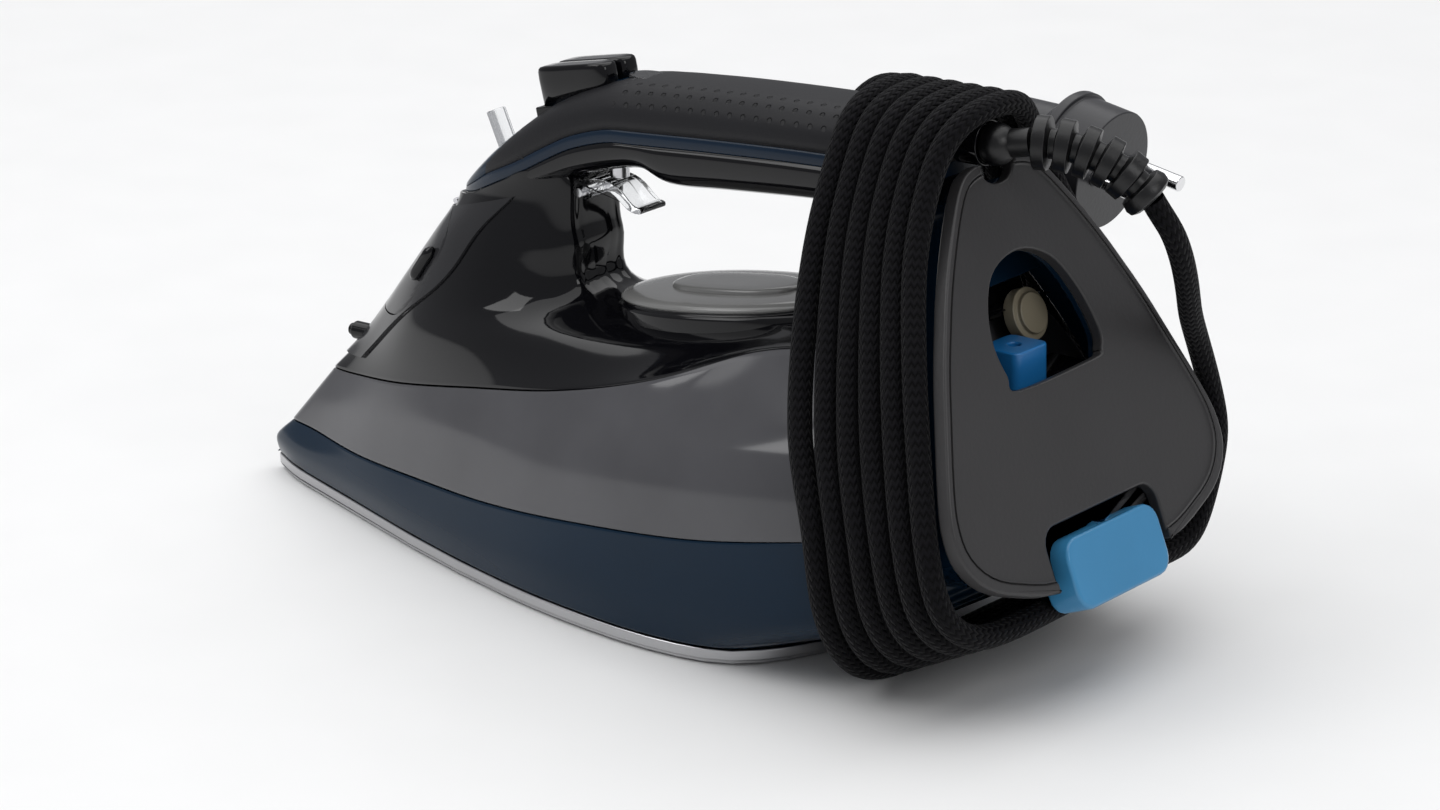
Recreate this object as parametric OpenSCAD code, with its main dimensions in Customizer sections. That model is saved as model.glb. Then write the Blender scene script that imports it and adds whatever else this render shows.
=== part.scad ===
// Steam iron with its cord wound round the heel.
// Frame: +X to the nose, +Y to the iron's left, +Z up, soleplate on z = 0,
// origin under the middle of the iron's own box (the cord and plug left out).

/* [Body] */
// Half the length from the nose tip to the descaling cap
nose_reach = 172; // [171:0.5:173]
// Lean of the heel cover from upright, top forward
heel_lean = 20.5; // [20:0.1:21]
// Height of the heel cover's lower edge
heel_low = 36.6; // [36:0.1:37]
// Wall of the plastic shells
wall = 2.2; // [1.8:0.1:2.4]
// Thickness of the soleplate
sole_t = 5; // [4.8:0.1:5]
// Radius of a steam hole in the soleplate
steam_hole_r = 1.6; // [1.2:0.1:2]

/* [Heel] */
// Thickness of the heel cover
cover_t = 5; // [4.5:0.1:5]
// Depth of the heel frame's front face behind the cover's outer face
frame_depth = 28; // [27.6:0.1:28.1]
// Radius of the descaling rod
rod_r = 4; // [3.5:0.1:4.5]

/* [Handle] */
// Height of the trim strip on the handle's side
strip_h = 4; // [3.5:0.1:4.5]
// Radius of the trigger's pin
pin_r = 1.5; // [1.2:0.1:1.6]

/* [Cord] */
// Diameter of the braided cord
cord_d = 7.3; // [7:0.1:7.5]
// Radius of the plug's pins
plug_pin_r = 2.4; // [2.4]

/* [Hidden] */

// Seam between the stacked shells
seam = 0.3;
// Sides of the round parts
round_fn = 36;

// ---- curves, rings and lofts ----

function mix(a, b, t) = a + (b - a) * t;
function bend(a, b, c, d, t) =
  b + 0.5 * t * ((c - a) + t * ((2 * a - 5 * b + 4 * c - d) + t * (3 * b - a - 3 * c + d)));
function open_curve(p, n) = let (m = len(p)) concat(
  [for (i = [0:m - 2], k = [0:n - 1])
    bend(p[max(i - 1, 0)], p[i], p[i + 1], p[min(i + 2, m - 1)], k / n)],
  [p[m - 1]]);
function closed_curve(p, n) = let (m = len(p))
  [for (i = [0:m - 1], k = [0:n - 1])
    bend(p[(i + m - 1) % m], p[i], p[(i + 1) % m], p[(i + 2) % m], k / n)];
function flip_y(p) = len(p) == 3 ? [p[0], -p[1], p[2]] : [p[0], -p[1]];
function both_sides(half) =
  concat(half, [for (i = [len(half) - 2:-1:1]) flip_y(half[i])]);

// A half ring runs from the nose along the left side; its last point is the middle of the rear
function ring(half, n = 2) = both_sides(concat(
  open_curve([for (i = [0:len(half) - 2]) half[i]], n), [half[len(half) - 1]]));
function stack(rings, n) = let (m = len(rings)) concat(
  [for (k = [0:m - 2], j = [0:n - 1]) [for (i = [0:len(rings[0]) - 1])
    bend(rings[max(k - 1, 0)][i], rings[k][i], rings[k + 1][i], rings[min(k + 2, m - 1)][i], j / n)]],
  [rings[m - 1]]);
function reversed(list) = [for (i = [len(list) - 1:-1:0]) list[i]];

// The same ring drawn in by a wall thickness, three times as far at the narrow nose
function drawn_in(r, t, drop = 0) = let (
  hi = max([for (p = r) p[0]]), lo = min([for (p = r) p[0]]), w = max([for (p = r) p[1]]),
  c = (hi + lo) / 2, h = (hi - lo) / 2)
  [for (p = r) [c + (p[0] - c) * (1 - (p[0] > c ? 3 : 1) * t / h), p[1] * (1 - t / w), p[2] - drop]];

function skin(a, b, n) = [for (i = [0:n - 1]) let (j = (i + 1) % n)
  each [[a + i, b + i, b + j], [a + i, b + j, a + j]]];
module loft(rings) {
  n = len(rings[0]);
  m = len(rings);
  polyhedron([for (r = rings) each r],
    concat([[for (i = [0:n - 1]) i]], [[for (i = [n - 1:-1:0]) (m - 1) * n + i]],
      [for (k = [0:m - 2]) each skin(k * n, (k + 1) * n, n)]), convexity = 8);
}
module ring_loft(rings) {
  n = len(rings[0]);
  m = len(rings);
  polyhedron([for (r = rings) each r],
    [for (k = [0:m - 1]) each skin(k * n, ((k + 1) % m) * n, n)], convexity = 8);
}
module shell(rings, t, drops) {
  ring_loft(concat(rings,
    reversed([for (k = [0:len(rings) - 1]) drawn_in(rings[k], t, drops[k])])));
}
module ellipse_plate(a, b, h) {
  linear_extrude(h) polygon([for (i = [0:47]) [a * cos(i * 7.5), b * sin(i * 7.5)]]);
}
module bar(p, q, r, fn = 24) {
  d = q - p;
  translate(p) rotate([0, acos(d[2] / norm(d)), atan2(d[1], d[0])])
    cylinder(h = norm(d), r = r, $fn = fn);
}

// A tube along a path; r is its radius, or one radius for each point
module tube(path, r, across, sides = 8) {
  m = len(path);
  rings = [for (i = [0:m - 1]) let (d = path[min(i + 1, m - 1)] - path[max(i - 1, 0)],
    f = d / norm(d), a = cross(f, across) / norm(cross(f, across)), b = cross(f, a))
    [for (k = [0:sides - 1]) path[i] + (is_list(r) ? r[i] : r) * (cos(k * 360 / sides) * a + sin(k * 360 / sides) * b)]];
  loft(rings);
}

// ---- lower body: rings from the soleplate up to the handle ----

sole_half = [[nose_reach - 0.9, 0], [166.4, 3], [152, 10], [118, 22], [78, 36], [38, 48], [0, 56.5],
  [-40, 60.5], [-68, 55], [-84, 33], [-91, 0]];
function at_z(half, z) = [for (p = half) [p[0], p[1], z]];
skirt_low = at_z(sole_half, sole_t + 0.5);
skirt_mid = [[nose_reach - 0.6, 0, 11.5], [167.6, 3.3, 11.6], [151, 10.8, 12], [116.5, 24, 13],
  [78, 37.5, 14.5], [37, 49.5, 16], [-3, 58.5, 17.5], [-48, 62.5, 19], [-92, 61, 21],
  [-135.6, 48, 28], [-137.6, 0, 27]];
skirt_top = [[162, 0, 18.6], [160, 3.5, 19], [145, 9.5, 20], [112, 23.5, 21.5], [75, 36, 24.5],
  [34, 48.5, 28.2], [-8, 58, 33.5], [-59, 63.5, 40], [-102, 63.2, 48], [-128.4, 59, 53],
  [-128.4, 0, 53]];
tank_mid = [[151.5, 0, 30], [149.5, 3.6, 30.4], [135.5, 9.5, 31.5], [102, 23.5, 36], [64, 36, 42.5],
  [21, 47, 49.5], [-20, 54.5, 58], [-65, 57.5, 67], [-101, 57, 73], [-119.6, 53, 76.5],
  [-119.6, 0, 76.5]];
tank_top = [[141.5, 0, 40.4], [139.5, 3.6, 41], [126, 9, 42.8], [92, 23, 49.5], [52, 34.5, 58.5],
  [8, 43, 68], [-31, 44, 79], [-64, 35, 91.5], [-92, 35, 97], [-111.6, 38, 99], [-111.6, 0, 99]];
arm_mid = [[125.5, 0, 55.5], [124.5, 3, 56], [114, 10, 58], [88, 23, 65.5], [54, 31.5, 72.5],
  [18, 34, 78], [-26, 32, 84.5], [-64, 28, 92.5], [-92, 28, 98], [-110, 31, 101.5],
  [-110, 0, 101.5]];
arm_top = [[108, 0, 75.5], [107.3, 3, 76], [100, 11, 77.5], [82, 20.5, 80.5], [60, 25, 83],
  [40, 24, 84.5], [26, 19, 85.5], [16, 13, 86.5], [13, 8.5, 87], [11.5, 4, 87.3], [11, 0, 87.4]];
pillar_mid = [[90.5, 0, 95.5], [90, 3, 95.7], [86, 10, 96.5], [76, 16.5, 98], [64, 19.5, 100],
  [52, 20, 101.5], [36, 17.5, 103], [27.2, 12.5, 104.3], [25.8, 8, 104.8], [25.4, 4, 105],
  [25.2, 0, 105]];
// The pillar's top is a plane that climbs towards the rear
function pillar_z(x) = 131 - 0.31 * x;
pillar_top = [for (p = [[82.5, 0], [82, 3], [78, 9], [70, 13], [61, 15.5], [51, 16.5], [39, 15.5],
  [28.5, 12.5], [26.8, 8], [26.2, 4], [26, 0]]) [p[0], p[1], pillar_z(p[0])]];

module soleplate() {
  holes = [for (k = [0:7]) [128 - 24 * k, 3 + 4.6 * k]];
  color("silver") difference() {
    union() {
      linear_extrude(sole_t) polygon(both_sides(closed_half(sole_half, -1.2)));
      translate([0, 0, 1.5]) linear_extrude(sole_t - 1.5) polygon(both_sides(closed_half(sole_half, 0)));
    }
    for (h = holes, side = [-1, 1])
      translate([h[0], side * min(h[1], 40), -1]) cylinder(h = 2 * sole_t, r = steam_hole_r, $fn = 12);
    for (k = [0:4])
      translate([112 - 22 * k, 0, -1]) cylinder(h = 2 * sole_t, r = steam_hole_r, $fn = 12);
  }
}
// Half outline of the soleplate as a smooth curve, moved out by grow
function closed_half(half, grow) = let (c = open_curve(half, 3))
  [for (p = c) [40 + (p[0] - 40) * (1 + grow / 131), p[1] * (1 + grow / 60)]];

module steam_chamber() {
  chamber = [[118, 0], [108, 12], [70, 27], [20, 42], [-30, 47], [-62, 44], [-74, 26], [-76, 0]];
  color("gray") difference() {
    translate([0, 0, sole_t]) linear_extrude(12) polygon(both_sides(open_curve(chamber, 2)));
    translate([-20, 0, sole_t + 6]) linear_extrude(12)
      polygon([[70, 0], [40, 14], [-30, 22], [-38, 0], [-30, -22], [40, -14]]);
    rod_room(112);
  }
}
module heating_element() {
  color("dimgray") translate([0, 0, sole_t + 12 + 4.8]) {
    translate([-22, 0, 0]) rotate([0, 0, 90]) rotate_extrude(angle = 180, $fn = 40)
      translate([33, 0]) circle(r = 3, $fn = 16);
    for (side = [-1, 1]) bar([-22, side * 33, 0], [60, side * 14, 0], 3);
    for (side = [-1, 1]) bar([60, side * 14, 0], [60, side * 14, 9], 2);
  }
}
module chamber_cover() {
  color("lightgray") translate([-20, 0, sole_t + 12.2]) linear_extrude(1.5)
    polygon([[66, 0], [38, 12], [-28, 20], [-36, 0], [-28, -20], [38, -12]]);
}
module thermostat() {
  color("white") translate([-22, 0, sole_t + 14]) {
    cylinder(h = 3, r = 9, $fn = 40);
    translate([0, 0, 3]) cylinder(h = 5, r = 6.5, $fn = 40);
    for (side = [-1, 1]) translate([side * 4 - 0.4, -2, 8]) cube([0.8, 4, 4]);
  }
}
module skirt() {
  color("midnightblue") difference() {
    shell(stack([ring(skirt_low), ring(skirt_mid), ring(skirt_top)], 2), wall, [0, 0, 0, 0, 0]);
    rod_room(60, 2);
  }
}
module tank() {
  foot = [for (p = ring(skirt_top)) p + [0, 0, seam]];
  color("dimgray", 0.8)
    shell(stack([foot, ring(tank_mid), ring(tank_top)], 2), wall, [0, 0, 0, 0, 0]);
}
// The tank's floor lies in one plane that falls towards the nose
function floor_z(x) = 31 + (88 - x) * 0.105;
module floor_plate(t, grow, rise) {
  edge = [for (p = drawn_in(ring(skirt_top), wall + 3 - grow)) [p[0], p[1], floor_z(p[0]) + rise]];
  loft([edge, [for (p = edge) [p[0], p[1], p[2] + t]]]);
}
module tank_floor() {
  color("gray") floor_plate(2, 0, 0);
}
module tank_gasket() {
  color("black") difference() {
    floor_plate(1.4, -0.6, 2.2);
    translate([0, 0, -1]) floor_plate(4, -3.6, 2.2);
  }
}
body_rings = stack([[for (p = ring(tank_top)) p + [0, 0, seam]], ring(arm_mid), ring(arm_top),
  ring(pillar_mid), ring(pillar_top)], 2);
module body_shell() {
  color("black") difference() {
    shell(body_rings, wall, [0, 1, wall, wall, wall, 1.5, 1, 0.5, 0]);
    translate([18, -7.6, 112]) cube([14, 15.2, 20]);
    trigger_pin_hole();
    on_saddle() translate([-2, 0, -12]) ellipse_plate(26, 13, 30);
    // Recess that the control pod sits in
    on_saddle() translate([0, 0, -0.1]) ellipse_plate(42.6, 24.6, 8.3);
    translate([110, 0, nozzle_z]) rotate([0, 90, 0]) cylinder(h = 30, r = nozzle_r + 0.4, $fn = round_fn);
    on_slope() translate([2, 0, -30]) ellipse_plate(9, 7, 34);
  }
}

// ---- front panel, lid and nozzle: patches of the front, just outside the body shell ----

// A patch is rows of points; it takes the columns within reach of the nose line
function columns(r, reach) = let (n = len(r)) [for (i = [-reach:reach]) r[(i + n) % n]];
function moved_out(rows, dx, dz) =
  [for (r = rows) [for (p = r) [p[0] + dx, p[1] * (1 + dx / 24), p[2] + dz]]];
module slab(outer, inner) {
  m = len(outer);
  n = len(outer[0]);
  q = m * n;
  grid = [for (k = [0:m - 2], i = [0:n - 2]) let (a = k * n + i, b = a + n)
    each [[a, b, b + 1], [a, b + 1, a + 1]]];
  rim = concat([for (i = [0:n - 1]) i], [for (k = [1:m - 1]) k * n + n - 1],
    [for (i = [n - 2:-1:0]) (m - 1) * n + i], [for (k = [m - 2:-1:1]) k * n]);
  polyhedron(concat([for (r = outer) each r], [for (r = inner) each r]), concat(grid,
    [for (f = grid) [f[0] + q, f[2] + q, f[1] + q]],
    [for (i = [0:len(rim) - 1]) let (a = rim[i], b = rim[(i + 1) % len(rim)])
      each [[a, b, b + q], [a, b + q, a + q]]]), convexity = 8);
}
front_rows = [for (k = [1:8]) columns(body_rings[k], 8)];
// Stands on the front slope, looking out of it; its own x runs down the slope
module on_slope() {
  translate([98.3, 0, 90]) rotate([0, 48.7, 0]) children();
}
lid_half = [[27, 0], [25, 8], [18, 15], [8, 19], [-6, 19.6], [-20, 18.4], [-25, 15], [-27, 8],
  [-27.5, 0]];
module lid_prism(grow) {
  on_slope() translate([0, 0, -26]) linear_extrude(44) polygon(
    [for (p = both_sides(open_curve(lid_half, 3))) [p[0] * (1 + grow / 27), p[1] * (1 + grow / 19)]]);
}
module front_skin() {
  slab(moved_out(front_rows, 2.6, 0.6), moved_out(front_rows, 0.6, 0.2));
}
module front_panel() {
  color("#2c2d30") difference() {
    front_skin();
    lid_prism(0.5);
    translate([118, 0, nozzle_z]) rotate([0, 90, 0]) cylinder(h = 30, r = nozzle_r + 0.4, $fn = round_fn);
  }
}
module tank_lid() {
  color("#35363a") difference() {
    intersection() {
      front_skin();
      lid_prism(0);
    }
    grip_bars(0.1);
  }
}
// Two bars along the lid's sides, standing in pockets in it
module grip_bars(grow) {
  on_slope() for (side = [-1, 1])
    translate([1, side * 15.8, -9.8]) rotate([side * -50, 0, 0])
      translate([0, 0, 1.9]) cube([14 + grow, 3 + grow, 4 + grow], center = true);
}
module lid_grip() {
  color("black") grip_bars(0);
}
module lid_pin() {
  color("silver") translate([80.6, -6, 107.6]) rotate([-90, 0, 0]) cylinder(h = 12, r = 0.9, $fn = 24);
}
nozzle_z = 54.5;
nozzle_r = 3;
module spray_nozzle() {
  color("black") translate([121, 0, nozzle_z]) rotate([0, 90, 0]) difference() {
    union() {
      cylinder(h = 11.5, r = nozzle_r, $fn = round_fn);
      cylinder(h = 13.5, r = nozzle_r - 1, $fn = round_fn);
    }
    translate([0, 0, -1]) cylinder(h = 14, r = 1.6, $fn = 24);
    translate([0, 0, 5]) cylinder(h = 15, r = 0.6, $fn = 24);
  }
}

// ---- heel ----

// Stands on the heel cover's outer face: x to the iron's left, y up the cover, z into the iron
module on_heel(depth = 0) {
  translate([-nose_reach + 4.5, 0, heel_low]) rotate([0, heel_lean, 0])
    rotate([90, 0, 90]) translate([0, 0, depth]) children();
}
cover_half = [[0, 0], [28, 0], [46, 4.5], [58, 10], [65, 18], [66.3, 27], [63.5, 38], [54, 61],
  [47, 76], [37, 94], [26, 110], [18, 119], [11, 122], [0, 123]];
function inset_half(d) = [for (p = cover_half)
  [p[0] * (1 - d / 66), 61 + (p[1] - 61) * (1 - d / 61)]];
function cover_outline(d, n = 2) = let (h = open_curve(inset_half(d), n))
  concat(h, [for (i = [len(h) - 2:-1:1]) [-h[i][0], h[i][1]]]);
window = [[19, 58], [22, 63], [24, 72], [22, 82], [16, 91], [6, 95], [-4, 94.5], [-14, 89],
  [-21, 78], [-24.5, 66], [-23, 60], [-18, 58]];
// Smooth closed curve through points, with n steps for each span
function loop_curve(p, n) = let (m = len(p)) [for (i = [0:m - 1], k = [0:n - 1])
  bend(p[(i + m - 1) % m], p[i], p[(i + 1) % m], p[(i + 2) % m], k / n)];
frame_inset = 6;
notch_room = 4.8;
cap_half_w = 23;
cap_top = 13.5;
module window_cut(grow) {
  translate([0, 0, -10]) linear_extrude(80)
    polygon([for (p = loop_curve(window, 4)) [p[0] * (1 + grow / 24), 76 + (p[1] - 76) * (1 + grow / 18)]]);
}
module cap_shape(grow, h) {
  linear_extrude(h) polygon(rounded_box(-cap_half_w - grow, -8 - grow, cap_half_w + grow, cap_top + grow, 6));
}
function rounded_box(x0, y0, x1, y1, r) = [for (c = [[x1 - r, y1 - r, 0], [x0 + r, y1 - r, 90],
  [x0 + r, y0 + r, 180], [x1 - r, y0 + r, 270]], k = [0:5])
  [c[0] + r * cos(c[2] + 18 * k), c[1] + r * sin(c[2] + 18 * k)]];
module ball_notch(h) {
  translate([0, 118.5 + 6, -1]) linear_extrude(h) polygon(rounded_box(-8.5, -9, 8.5, 30, 7.5));
}
module heel_cover() {
  color("#3a3b3d") on_heel() difference() {
    linear_extrude(cover_t) polygon(cover_outline(0, 3));
    translate([0, 0, -1]) linear_extrude(1.8) polygon(cover_outline(3.2, 3));
    window_cut(0);
    translate([0, 0, -1]) cap_shape(notch_room, cover_t + 2);
    ball_notch(cover_t + 2);
  }
}
module heel_frame() {
  color("midnightblue") on_heel(cover_t + 0.2) frame_box();
  // Wall behind the window, above the tank
  color("midnightblue") on_heel(frame_depth - 5.5) intersection() {
    linear_extrude(2) polygon(cover_outline(frame_inset + 2.4));
    translate([-50, 86, 0]) cube([100, 13, 2]);
  }
}
module frame_box() {
  difference() {
    linear_extrude(frame_depth - cover_t - 0.2) polygon(cover_outline(frame_inset));
    translate([0, 0, 2.2]) linear_extrude(frame_depth) polygon(cover_outline(frame_inset + 2.5));
    window_cut(1);
    translate([0, 0, -1]) cap_shape(notch_room, cover_t + 22);
    translate([0, 0, -1]) ball_notch(30);
    translate([-40, 99, 8.8]) cube([80, 40, 40]);
  }
}
// The rod's axis runs straight into the heel from the middle of the cap
rod_up = 6.5;
module rod_place() {
  on_heel() translate([0, rod_up, 0]) children();
}
module rod_room(reach, gap = 0.8) {
  rod_place() cylinder(h = reach, r = rod_r + gap, $fn = round_fn);
}
module descale_plug() {
  color("deepskyblue") {
    on_heel(-1.5) difference() {
      cap_shape(0, 11.5);
      translate([0, 0, 2.5]) cap_shape(-2, 11.5);
    }
    rod_place() cylinder(h = 97, r = rod_r, $fn = round_fn);
    rod_place() translate([0, 0, 0.5]) cylinder(h = 9.5, r = 7.5, $fn = round_fn);
  }
}
module plug_seal() {
  color("black") rod_place() translate([0, 0, 76]) difference() {
    cylinder(h = 3, r = rod_r + 1.4, $fn = round_fn);
    translate([0, 0, -1]) cylinder(h = 5, r = rod_r + 0.02, $fn = round_fn);
  }
}
module descale_release() {
  color("deepskyblue") translate([-129, -2.5, 84.3]) difference() {
    linear_extrude(11.5) polygon(rounded_box(-7, -8, 7, 8, 2.5));
    translate([0, 0, 8]) cylinder(h = 5, r = 1.9, $fn = 24);
  }
}
module valve_knob() {
  color("wheat") translate([-113, -19.5, 96]) rotate([0, -69.4, 0]) translate([0, 0, 6.6]) {
    cylinder(h = 4, r = 8, $fn = round_fn);
    cylinder(h = 5.5, r = 6.2, $fn = round_fn);
  }
}
module heel_shelf() {
  color("black") translate([-141.6, -33, 82]) cube([20.6, 66, 2]);
}

// ---- handle: upright slices along x ----

// Each row: x, underside, seam, top, half width
handle_rows = [
  [79, 110, 111, 112.6, 2], [74, 110.5, 112, 116.5, 7.5], [66, 112, 114.5, 123.4, 11.8],
  [56, 114.6, 119, 131.6, 14.8], [45, 118, 124, 139.8, 16.4], [34, 121.5, 129.8, 147, 17.1],
  [22, 125.8, 135.6, 152.6, 17.4], [8, 129.5, 139.7, 157, 17.5], [-3, 131, 140.7, 158.4, 17.5],
  [-13, 127.5, 141.4, 159.2, 17.5], [-34, 129, 142.8, 160.5, 17.5], [-64, 131.3, 144.4, 161.6, 17.5],
  [-90, 132.5, 145, 161.9, 17], [-104, 132.5, 144.6, 161.4, 16.2], [-110, 133, 144, 159.8, 15]];
// Quarter-round profile from a flat seam at z0 to a crown at z1, as offsets [y, z]
function crown(w, z0, z1) = concat([[w, z0]],
  [for (a = [20:20:160]) [w * pow(abs(cos(a)), 0.6) * sign(cos(a)), z0 + (z1 - z0) * pow(sin(a), 0.75)]],
  [[-w, z0]]);
function slice(x, w, z0, z1, n0 = 0) = [for (p = crown(w, z0, z1)) [x, p[0], p[1]]];
module sweep_x(slices) {
  loft(reversed(slices));
}
module handle_base() {
  color("black") difference() {
    sweep_x([for (r = handle_rows) slice_down(r[0], r[4], r[2], r[1])]);
    translate([0, -8, 118]) cube([36, 16, 10.4]);
    lever_slot();
    translate([lever_x, 0, 100]) cylinder(h = 60, r = 2.3, $fn = 24);
    button_pocket();
  }
}
function slice_down(x, w, z1, z0) = [for (p = reversed(crown(w, z1, z0))) [x, p[0], p[1]]];
module trim_strip() {
  color("steelblue") difference() {
    sweep_x([for (r = handle_rows)
      [for (p = [[1, 0], [1.03, 0.5], [1, 1], [-1, 1], [-1.03, 0.5], [-1, 0]])
        [r[0], p[0] * r[4], r[2] + 0.1 + p[1] * strip_z(r)]]]);
    lever_slot();
    button_pocket();
    translate([lever_x, 0, 100]) cylinder(h = 60, r = 2.3, $fn = 24);
  }
}
function strip_z(r) = min(strip_h, (r[3] - r[2]) * 0.35);
module grip() {
  color("#26272a") difference() {
    sweep_x([for (r = handle_rows) slice(r[0], r[4], r[2] + strip_z(r) + 0.2, r[3])]);
    button_pocket();
    lever_slot();
    translate([4, 0, 154.2]) ellipse_plate(7.4, 5.4, 12);
  }
}
module indicator_lens() {
  color("lightgray") translate([4, 0, 154.3]) ellipse_plate(7, 5, 3.6);
}

// ---- thumb buttons, steam lever, trigger ----

// Stands on the button deck, which climbs towards the rear
module on_deck() {
  translate([30.5, 0, 146]) rotate([0, 12, 0]) children();
}
module button_pocket() {
  on_deck() translate([-11.5, -10.5, -8]) cube([23, 21, 30]);
}
module button_deck() {
  color("black") on_deck() translate([0, 0, -7.8]) difference() {
    translate([-11.3, -10.3, 0]) cube([22.6, 20.6, 8.5]);
    translate([-10.1, -9.1, 1.6]) cube([20.2, 18.2, 10]);
  }
}
module thumb_button(side) {
  on_deck() translate([0, side * 4.5, -3.5]) difference() {
    linear_extrude(12.8) polygon(rounded_box(-9.8, -4.3, 9.8, 4.3, 2));
    translate([0, 0, -1]) linear_extrude(10) polygon(rounded_box(-8.4, -3.2, 8.4, 3.2, 1.2));
  }
}
module boost_button() {
  color("black") thumb_button(1);
}
module spray_button() {
  color("black") thumb_button(-1);
}
module button_springs() {
  color("silver") on_deck() for (side = [-1, 1])
    translate([0, side * 4.5, -6.1]) difference() {
      cylinder(h = 8.2, r = 2.6, $fn = 24);
      translate([0, 0, -1]) cylinder(h = 12, r = 1.8, $fn = 24);
    }
}
module pumps() {
  color("ivory") for (side = [-1, 1]) {
    bar([66, side * 7, 84], [58, side * 7, 102], 5);
    bar([58, side * 7, 102], [57, side * 7, 106], 1.6);
  }
}
module water_hose() {
  color("white") for (side = [-1, 1]) {
    bar([66.5, side * 7, 83.4], [66.5, side * 7, 46], 2);
  }
}
lever_x = 50;
lever_base = 123.2;
module lever_slot() {
  translate([lever_x, 0, lever_base - 1]) rotate([0, 0, -50]) rotate_extrude(angle = 100, $fn = 48)
    translate([7, 0]) square([13.5, 30]);
  translate([lever_x, 0, lever_base - 1]) cylinder(h = 5, r = 8, $fn = round_fn);
}
module steam_lever() {
  color("white", 0.6) {
    translate([lever_x, 0, lever_base]) cylinder(h = 2, r = 6, $fn = round_fn);
    translate([lever_x + 4, -2.2, lever_base]) cube([8.5, 4.4, 2]);
    translate([lever_x + 10.5, 0, lever_base]) rotate([0, 24, 0]) translate([-1.8, -3, 0.3])
      linear_extrude(16) polygon(rounded_box(0, 0, 4.2, 6, 1.2));
  }
}
module valve_rod() {
  color("silver") translate([lever_x, 0, 46]) {
    cylinder(h = lever_base - 46 - 0.02, r = 1.8, $fn = 24);
    cylinder(h = 6, r = 3, $fn = 24);
  }
}
// Trigger: a clear curved blade, drawn in side view and hung from a pin at its front
trigger_x = 26;
trigger_z = 119.5;
trigger_outline = [[29, 117], [29.3, 120.6], [26, 122.6], [21, 124], [16, 123.6], [12, 121.8],
  [9, 119.2], [6.5, 117.4], [4.2, 116.9], [4.1, 115.3], [6.7, 115], [9.5, 115.8], [12.5, 118],
  [16, 120.2], [19.5, 120.4], [23, 118.6], [26, 116.4]];
module trigger() {
  color("white", 0.6) difference() {
    rotate([90, 0, 0]) translate([0, 0, -6]) linear_extrude(12) polygon(closed_curve(trigger_outline, 2));
    translate([trigger_x, 8, trigger_z]) rotate([90, 0, 0]) cylinder(h = 16, r = pin_r + 0.05, $fn = 32);
  }
}
module trigger_pin_hole() {
  translate([trigger_x, 12, trigger_z]) rotate([90, 0, 0]) cylinder(h = 24, r = pin_r, $fn = 32);
}
module trigger_pin() {
  color("silver") translate([trigger_x, 9.5, trigger_z]) rotate([90, 0, 0])
    cylinder(h = 19, r = pin_r, $fn = 32);
}
module trigger_spring() {
  color("silver") translate([17, 0, 124.2]) difference() {
    cylinder(h = 4.2, r = 3, $fn = 24);
    translate([0, 0, -1]) cylinder(h = 8, r = 2.2, $fn = 24);
  }
}

// ---- control pod on the saddle ----

module on_saddle() {
  translate([-29, 0, 84.4]) rotate([0, 10.5, 0]) children();
}
module control_pod() {
  color("black") on_saddle() difference() {
    union() {
      ellipse_plate(42.5, 24.5, 6.5);
      translate([0, 0, 6.4]) ellipse_plate(41, 23, 1.6);
    }
    translate([-2, 0, 4]) ellipse_plate(24.6, 11.6, 12);
    translate([0, 0, -1]) ellipse_plate(30, 9, 4);
  }
}
module mode_button() {
  color("#17181a") on_saddle() translate([-2, 0, 5.8]) ellipse_plate(24.2, 11.2, 2.8);
}

// ---- electrical parts inside ----

module circuit_board() {
  color("green") translate([-118, -22, 36]) cube([62, 44, 1.6]);
  color("black") for (k = [0:3]) translate([-112 + 14 * k, -12, 37.6]) cube([9, 9, 5]);
}
module terminal_block() {
  color("ivory") translate([-108, -13, 74]) difference() {
    cube([12, 26, 10]);
    for (k = [0:2]) translate([6, 5 + 8 * k, 4]) cylinder(h = 10, r = 1.6, $fn = 24);
  }
}
module lead_wires() {
  color("saddlebrown") for (k = [-1:1]) {
    bar([-102, 8 * k, 84.4], [-100, 4 * k, 94], 1.1, 16);
    bar([-102, 8 * k, 73.4], [-90, 10 * k, 60], 1.1, 16);
  }
}
module screws() {
  color("silver") for (p = [[100, 12, 18], [100, -12, 18], [-30, 38, 17.2], [-30, -38, 17.2]])
    translate(p) {
      cylinder(h = 6, r = 1.5, $fn = 24);
      translate([0, 0, 6]) cylinder(h = 2, r = 3, $fn = 24);
    }
}

// ---- cord: swivel, strain relief, lead, winding, tail and plug ----

ball = [-124, -1, 155];
ball_r = 6.3;
module swivel_socket() {
  color("black") translate(ball + [2.5, 0, 0]) rotate([0, 90, 0]) difference() {
    cylinder(h = 9, r = 6.9, $fn = round_fn);
    translate([0, 0, -2.5]) sphere(r = ball_r + 0.35, $fn = 24);
  }
}
relief_end = [-165.5, -19, 141];
// The relief's centre line: up and over from the ball, then down to its end
relief_route = [ball, [-135, -4.5, 156.5], [-147, -9.5, 155], [-157.5, -14.5, 149.5], relief_end];
relief_line = open_curve(relief_route, 4);
module swivel_ball() {
  color("black") {
    translate(ball) sphere(r = ball_r, $fn = 24);
    bar(ball, mix(relief_line[3], relief_line[4], 0.7), 4.2, 32);
  }
}
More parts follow.
